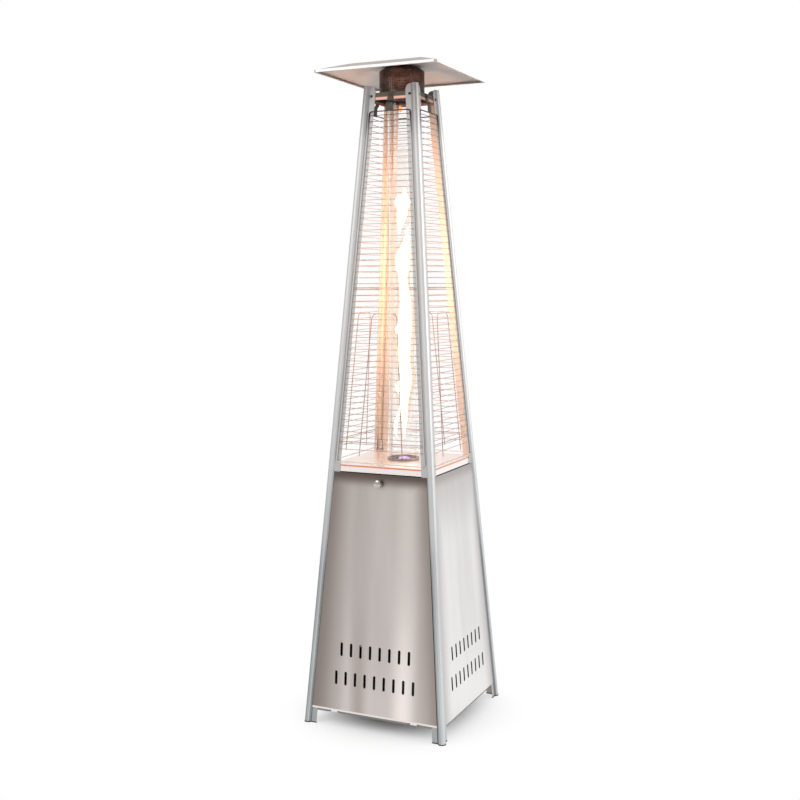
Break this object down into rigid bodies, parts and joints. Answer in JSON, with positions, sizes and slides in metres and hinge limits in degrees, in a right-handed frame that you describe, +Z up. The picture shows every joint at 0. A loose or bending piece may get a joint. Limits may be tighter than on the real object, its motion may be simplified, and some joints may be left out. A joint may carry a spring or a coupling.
{
  "type": "pyramid patio heater",
  "caption": "Four-sided tapering gas patio heater: slotted steel cabinet with a hinged door, glass flame tube behind wire guards, round flame screen and a square folded reflector on top.",
  "frame": {"origin": "on the floor under the middle of the square base", "axes": "+Z up, -Y towards the side with the door, +X to the right when facing the door"},
  "size_m": [0.5338, 0.5338, 2.2691],
  "materials": {
    "black_plastic": "black",
    "burner_iron": "dark, heat stained",
    "button_plastic": "red",
    "clip_steel": "dark spring steel",
    "deck_steel": "bright stainless sheet",
    "door_steel": "brushed stainless sheet",
    "foot_plastic": "black moulded plastic",
    "gas_brass": "satin",
    "guard_wire": "bright plated wire",
    "panel_steel": "brushed stainless sheet",
    "pilot_metal": "dull",
    "plate_steel": "plain stainless sheet",
    "polished_steel": "polished",
    "post_steel": "satin folded stainless sheet, brushed along its length",
    "reflector_steel": "satin stainless sheet",
    "ring_steel": "dark, heat stained",
    "screen_steel": "dark, heat tinted",
    "sleeve_steel": "plain steel tube",
    "top_plate_steel": "stainless sheet, lightly heat tinted",
    "tube_glass": "clear heat resistant glass"
  },
  "bodies": {
    "frame": {"lower_post_front_left": "post_steel", "lower_post_front_right": "post_steel", "lower_post_rear_right": "post_steel", "lower_post_rear_left": "post_steel", "upper_post_front_left": "post_steel", "upper_post_front_right": "post_steel", "upper_post_rear_right": "post_steel", "upper_post_rear_left": "post_steel", "post_sleeve_front_left": "sleeve_steel", "post_sleeve_front_right": "sleeve_steel", "post_sleeve_rear_right": "sleeve_steel", "post_sleeve_rear_left": "sleeve_steel", "foot_cap_front_left": "foot_plastic", "foot_cap_front_right": "foot_plastic", "foot_cap_rear_right": "foot_plastic", "foot_cap_rear_left": "foot_plastic", "right_panel": "panel_steel", "rear_panel": "panel_steel", "left_panel": "panel_steel", "bottom_plate": "plate_steel", "control_box": "plate_steel", "burner_deck": "deck_steel", "top_plate": "top_plate_steel", "hinge_pin_left": "polished_steel", "hinge_pin_right": "polished_steel", "wing_nut_1": "polished_steel", "wing_nut_2": "polished_steel", "wing_nut_3": "polished_steel", "wing_nut_4": "polished_steel", "front_guard": "guard_wire", "right_guard": "guard_wire", "rear_guard": "guard_wire", "left_guard": "guard_wire", "guard_clip_front": "clip_steel", "guard_clip_right": "clip_steel", "guard_clip_rear": "clip_steel", "guard_clip_left": "clip_steel", "burner": "burner_iron", "burner_bowl": "burner_iron", "pilot_assembly": "pilot_metal", "tube_seat_ring": "ring_steel", "tube_top_ring": "ring_steel", "glass_tube": "tube_glass", "gas_valve": "gas_brass", "gas_inlet": "gas_brass", "gas_pipe": "gas_brass", "igniter_body": "black_plastic", "tilt_switch": "black_plastic", "door_catch": "black_plastic", "flame_screen": "screen_steel", "reflector": "reflector_steel"},
    "door": {"front_panel": "door_steel", "door_knob": "polished_steel"},
    "valve_push": {"valve_plunger": "polished_steel"},
    "control": {"control_knob": "black_plastic", "valve_stem": "polished_steel"},
    "igniter": {"igniter_button": "button_plastic"}
  },
  "joints": [
    {"name": "door_hinge", "type": "hinge", "parent": "frame", "child": "door", "pos_m": [0, -0.25039, 0.05], "axis": [1, 0, 0], "range_deg": [0, 90]},
    {"name": "knob_push", "type": "slide", "parent": "frame", "child": "valve_push", "axis": [0, 1, 0], "range_m": [0, 0.005], "stiffness_N_per_m": 800},
    {"name": "knob_turn", "type": "hinge", "parent": "valve_push", "child": "control", "pos_m": [-0.045, -0.16098, 0.842], "axis": [0, 1, 0], "range_deg": [0, 180]},
    {"name": "igniter_push", "type": "slide", "parent": "frame", "child": "igniter", "axis": [0, 1, 0], "range_m": [0, 0.006], "stiffness_N_per_m": 600}
  ]
}
